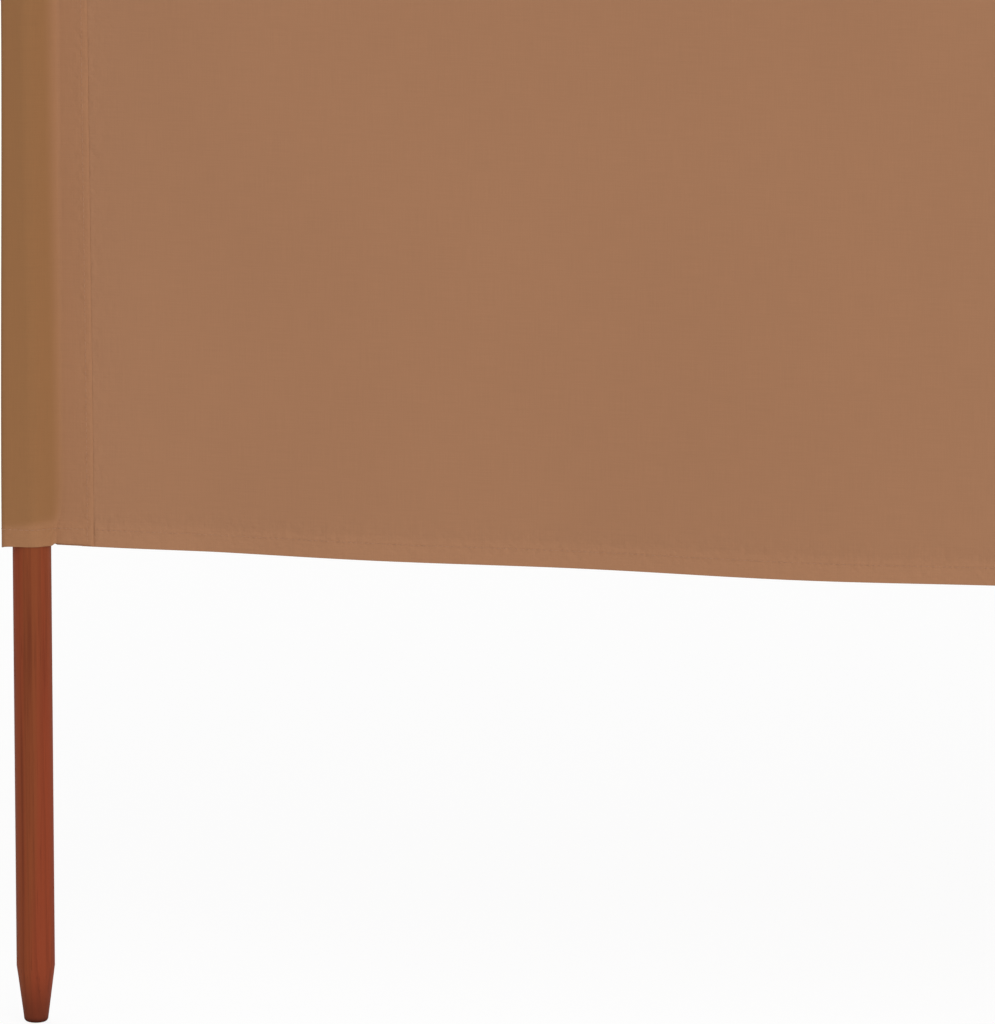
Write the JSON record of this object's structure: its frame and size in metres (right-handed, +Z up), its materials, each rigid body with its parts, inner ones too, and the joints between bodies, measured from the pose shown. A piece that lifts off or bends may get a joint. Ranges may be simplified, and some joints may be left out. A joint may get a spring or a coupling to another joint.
{
  "type": "beach windbreak",
  "caption": "Free-standing run of cloth bays in a zigzag, each stretched between round wooden poles that slide into sewn pockets and have sharpened tips to push into sand.",
  "frame": {"origin": "centre of the blunt tip of the middle pole, the face that goes down into the ground", "axes": "+Z up along the poles, X along the row, -Y towards the front, the side that the cloth bellies to"},
  "size_m": [7.0016, 0.3432, 1.2],
  "materials": {
    "pole_wood": "red-brown stained dowel, semi-matte",
    "pocket_cloth": "matt woven polyester, two layers over the pole",
    "bay_cloth": "matt woven polyester"
  },
  "bodies": {
    "root": {"pole_1": "pole_wood", "pole_2": "pole_wood", "pole_3": "pole_wood", "pole_4": "pole_wood", "pole_5": "pole_wood", "pole_6": "pole_wood", "pole_7": "pole_wood", "pole_pocket_1": "pocket_cloth", "pole_pocket_2": "pocket_cloth", "pole_pocket_3": "pocket_cloth", "pole_pocket_4": "pocket_cloth", "pole_pocket_5": "pocket_cloth", "pole_pocket_6": "pocket_cloth", "pole_pocket_7": "pocket_cloth", "cloth_bay_1": "bay_cloth", "cloth_bay_2": "bay_cloth", "cloth_bay_3": "bay_cloth", "cloth_bay_4": "bay_cloth", "cloth_bay_5": "bay_cloth", "cloth_bay_6": "bay_cloth"}
  },
  "joints": []
}
